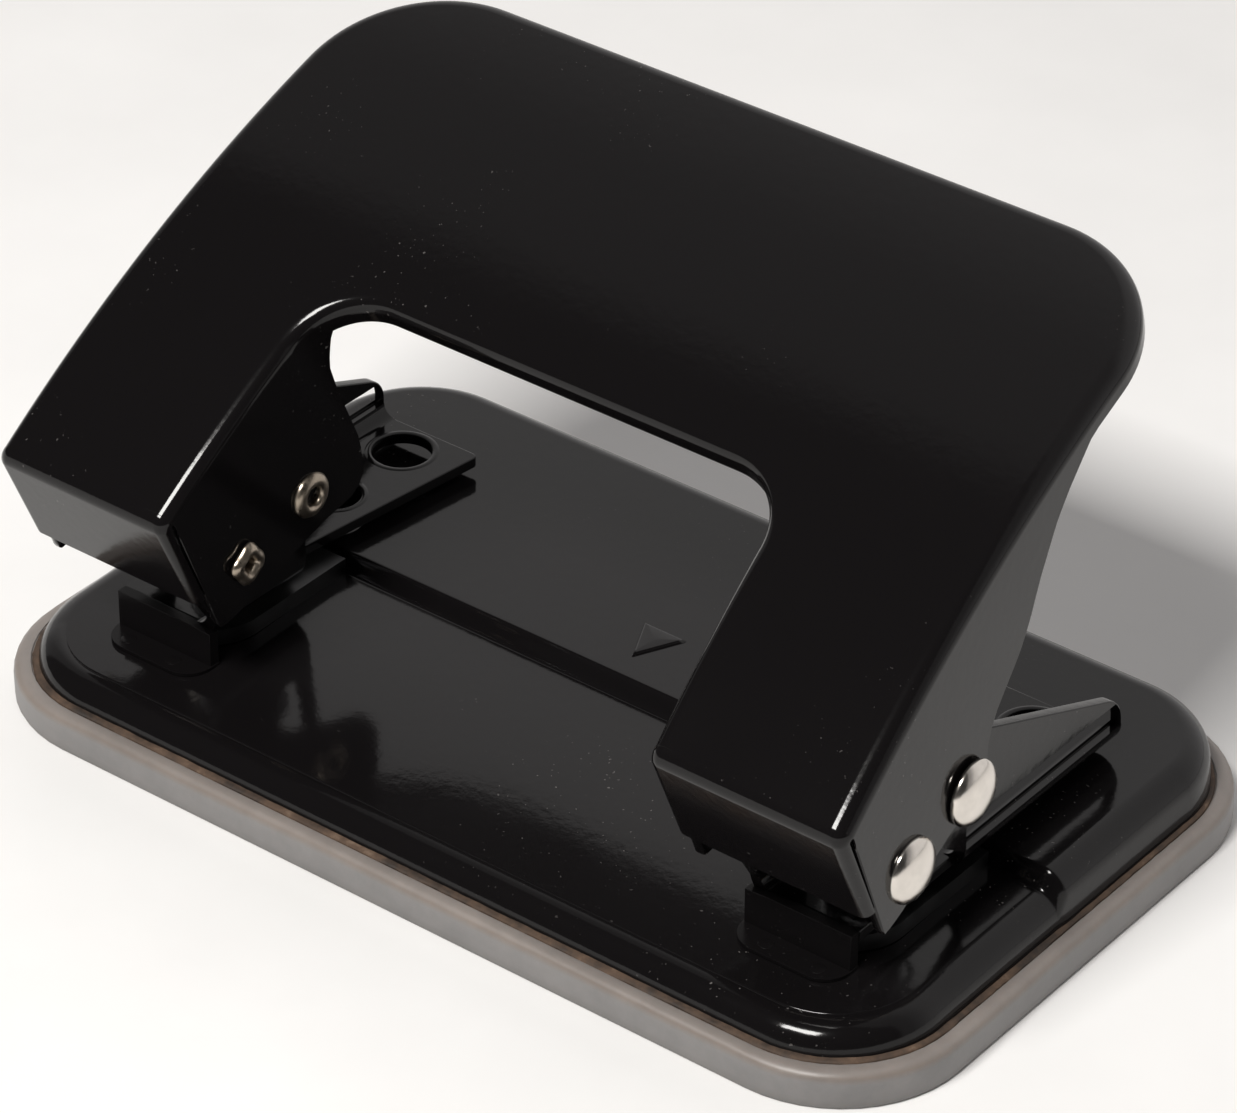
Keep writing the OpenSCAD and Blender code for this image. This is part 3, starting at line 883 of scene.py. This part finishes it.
def outer_ear():
    outline = (
        [(REAR_Y, EAR_FOOT_Z), (REAR_Y, 13.5)] + arc((REAR_Y - 3.4, 13.5), 3.4, 4, 68, 8)
        + [(-12.2, 28.4)] + arc(PIVOT, EAR_R, 68, 205, 16)
        + [(STOP_Y - 1.2, 15.8), (NOTCH_Y, 15.8), (NOTCH_Y, EAR_FOOT_Z)])
    return ear(outline, EAR_OUT - SHEET, EAR_LEAN)


def inner_ear():
    outline = (
        [(INNER_REAR_Y, EAR_FOOT_Z), (INNER_REAR_Y, 26)] + arc((-10.4, 26.4), 2.2, 0, 80, 8)
        + arc(PIVOT, EAR_R, 75, 205, 16) + [(STOP_Y - 0.4, EAR_FOOT_Z)])
    return ear(outline, -EAR_IN)


def paper_stop():
    left, right, low = -EAR_IN + 0.1, EAR_IN - 1.2, LOW_Z - 0.3
    outline = [(left, low), (right, low), (right, PLATE_Z + SHEET),
               (-EAR_IN + BEND, PLATE_Z + SHEET), (left, PLATE_Z + 1.0)]
    v, f = flat_plate(outline, [], SHEET, 0.05)
    return [(x, STOP_Y - t, z) for x, z, t in v], f


def bracket_foot():
    left, right, front, r = -EAR_IN, EAR_IN - 1.1, -25.8, 3.0
    outline = ([(right, STOP_Y), (left, STOP_Y)] + arc((left + r, front + r), r, 180, 270, 10)
               + arc((right - r, front + r), r, 270, 360, 10))
    v, f = flat_plate(outline, [], 0.4, 0.04)
    return [(x, y, z + LOW_Z - 0.35) for x, y, z in v], f


def build_bracket(side, name):
    upper = ([guide_plate()] + [hole_rim(*hole) for hole in PAPER_HOLES]
             + [outer_ear(), bend_strip(NOTCH_Y + 0.02, REAR_Y - 0.02, EAR_OUT - BEND, 1),
                inner_ear(), bend_strip(STOP_Y - 0.3, INNER_REAR_Y - 0.1, -EAR_IN + BEND, -1)])
    # The paper stop and the foot take the shaded copy of the enamel: painted shade.
    lower = [paper_stop(), bracket_foot()]
    for suffix, parts, mat in (("_bracket_shell", upper, ENAMEL), ("_bracket_foot", lower, ENAMEL_SHADED)):
        v, f = [], []
        for part_v, part_f in parts:
            f += [[len(v) + i for i in ring][::side] for ring in part_f]
            v += [(side * (UNIT_X + x), y, z) for x, y, z in part_v]
        ob = mesh_object(name + suffix, v, f, mat, smooth_angle=38)
        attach(ob, "base")
        if parts is upper:
            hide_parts(name + "_bracket")


SIDES = ((1, "right"), (-1, "left"))
for side, name in SIDES:
    build_bracket(side, name)


# ------------------------------------------------------------------ rivets
def build_foot_rivets():
    """Flush heads and tails of the four rivets that hold the brackets to the floor."""
    profile = [(0.0, -1.8), (1.1, -1.78), (1.38, -1.6), (1.4, -1.1), (1.32, -1.0), (0.8, -0.98),
               (0.8, 0.06), (0.72, 0.12), (0.0, 0.13)]
    steps, off_centre = 32, 3
    y = middle("bracket_rivets", 1)
    v, f = [], []
    for side in (-1, 1):
        for x in (side * UNIT_X - off_centre, side * UNIT_X + off_centre):
            f += tube_faces(steps, len(profile), len(v))
            v += turned(profile, steps, (x, y, LOW_Z))
    # The heads take the shaded copy of the enamel: painted shade.
    ob = mesh_object("foot_rivets", v, f, ENAMEL_SHADED, smooth_angle=40)
    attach(ob, "base")
    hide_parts("bracket_rivets")


build_foot_rivets()

# Leg rivets: a domed head outside each leg and a rolled tail inside it, as (radius, height off
# the leg's surface). The pivot's tail is pressed into four lobes.
RIVET_STEPS = 56
RIVET_S = 8.0  # the legs' width is taken here
SHANK_R, SHANK_LEN = 1.55, 21.6
HEAD = [(SHANK_R, -SHANK_LEN), (SHANK_R, -0.02), (3.2, -0.02), (3.34, 0.1), (3.36, 0.34),
        (3.25, 0.62), (2.95, 0.92), (2.45, 1.2), (1.8, 1.42), (1.0, 1.54), (0.0, 1.58)]
DRIVE_TAIL = [(1.0, -2.0), (1.0, 0.55), (1.12, 0.95), (1.45, 1.15), (1.85, 1.08), (2.25, 0.82),
              (2.45, 0.5), (2.4, 0.22), (2.0, 0.0), (1.5, -0.02)]
PIVOT_TAIL = [(0.55, -1.2), (0.7, 0.3), (0.95, 0.78), (1.3, 0.98), (1.65, 0.9), (1.95, 0.62),
              (2.15, 0.35), (2.07, 0.12), (1.8, 0.0), (1.5, -0.02)]


def lobes(a, j):
    return 1 + (0.1 if 1 <= j <= 7 else 0) * math.cos(4 * a + 0.6)


def lathe(name, profile, mat, where, way, wave=None):
    """Turned piece at where, its axis along x in the direction of way."""
    axis = Matrix(((0, 0, way), (1, 0, 0), (0, way, 0)))
    v = [axis @ Vector(p) + Vector(where) for p in turned(profile, RIVET_STEPS, (0, 0, 0), wave)]
    return mesh_object(name, v, tube_faces(RIVET_STEPS, len(profile)), mat, smooth_angle=60)


def build_leg_rivets(side, name):
    for kind, at, tail, wave in (("pivot", PIVOT, PIVOT_TAIL, lobes),
                                 ("drive", DRIVE, DRIVE_TAIL, None)):
        rivet = name + "_" + kind + "_rivet"
        body = lathe(rivet + "_body", HEAD, NICKEL, (side * outer_x(RIVET_S), *at), side)
        end = lathe(rivet + "_tail", tail, TAIL, (side * inner_x(RIVET_S), *at), -side, wave)
        for ob in (body, end):
            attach(ob, "grip")
        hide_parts(rivet)


for side, name in SIDES:
    build_leg_rivets(side, name)

# ------------------------------------------------------------------ pieces shown as they are in CAD
CAD_LOOK = {"die": DIE, "guide_bush": BRASS, "punch_rod": PUNCH, "spring_clip": CLIP,
            "return_spring": WIRE}
for name, ob in frame["nodes"].items():
    for ending, mat in CAD_LOOK.items():
        if name.endswith(ending):
            ob.data.materials.clear()
            ob.data.materials.append(mat)


# ------------------------------------------------------------------ floor and light
def build_floor():
    n, size, z = 24, 2500.0, -0.02
    line = [-size + 2 * size * i / n for i in range(n + 1)]
    v = [(x, y, z) for x in line for y in line]
    f = [[a, a + n + 1, a + n + 2, a + 1]
         for a in (i * (n + 1) + j for i in range(n) for j in range(n))]
    ob = mesh_object("floor", v, f, floor_paper("floor_paper"))


build_floor()


def build_world():
    """Grey studio: dark in front of the punch, light behind it."""
    world = bpy.data.worlds.new("studio")
    bpy.context.scene.world = world
    world.use_nodes = True
    nt = world.node_tree
    sep = node(nt, "SeparateXYZ")
    nt.links.new(node(nt, "TexCoord").outputs["Generated"], sep.inputs["Vector"])
    half = node(nt, "Math", operation="MULTIPLY_ADD")
    half.inputs[1].default_value = 0.5
    half.inputs[2].default_value = 0.5
    nt.links.new(sep.outputs["Y"], half.inputs[0])
    levels = ((0.487, 0.045), (0.515, 0.28), (0.60, 0.32), (0.74, 0.76), (0.84, 0.82))
    tint = ramp(nt, half.outputs[0],
                [(at, (level, level * 0.972, level * 0.96)) for at, level in levels])
    nt.links.new(tint, nt.nodes["Background"].inputs["Color"])
    nt.nodes["Background"].inputs["Strength"].default_value = 1.0


def build_lamp():
    """Warm softbox, a metre from the punch and high over its front."""
    lamp = bpy.data.lights.new("lamp", "AREA")
    lamp.energy = 11.5
    lamp.color = (1, 0.98, 0.95)
    lamp.shape = "RECTANGLE"
    lamp.size, lamp.size_y = 0.42, 0.2
    ob = bpy.data.objects.new("lamp", lamp)
    ob.location = tuple(unit((0.0, -0.57, 0.82)))
    aim = Vector((0, 0, 0.03)) - ob.location
    ob.rotation_euler = aim.to_track_quat("-Z", "Y").to_euler()
    bpy.context.scene.collection.objects.link(ob)


def build_camera():
    """Long lens over the front right corner, turned by azimuth, elevation and roll."""
    data = bpy.data.cameras.new("camera")
    cam = bpy.data.objects.new("camera", data)
    bpy.context.scene.collection.objects.link(cam)
    place = (0.27987, -0.35631, 0.32637)
    az, el, roll = math.radians(38.01), math.radians(33.72), math.radians(0.26)
    ahead = Vector((-math.sin(az) * math.cos(el), math.cos(az) * math.cos(el), -math.sin(el)))
    level = ahead.cross(Vector((0, 0, 1))).normalized()
    under = ahead.cross(level).normalized()
    right = level * math.cos(roll) - under * math.sin(roll)
    down = level * math.sin(roll) + under * math.cos(roll)
    turn = Matrix((right, -down, -ahead)).transposed()
    cam.matrix_world = Matrix.Translation(place) @ turn.to_4x4()
    data.sensor_width = 36.0
    data.lens = 162.45138
    data.shift_x, data.shift_y = -0.0068553, -0.0088197
    data.clip_start, data.clip_end = 0.01, 20
    bpy.context.scene.camera = cam


build_world()
build_lamp()
build_camera()
bpy.context.scene.view_settings.view_transform = "Standard"
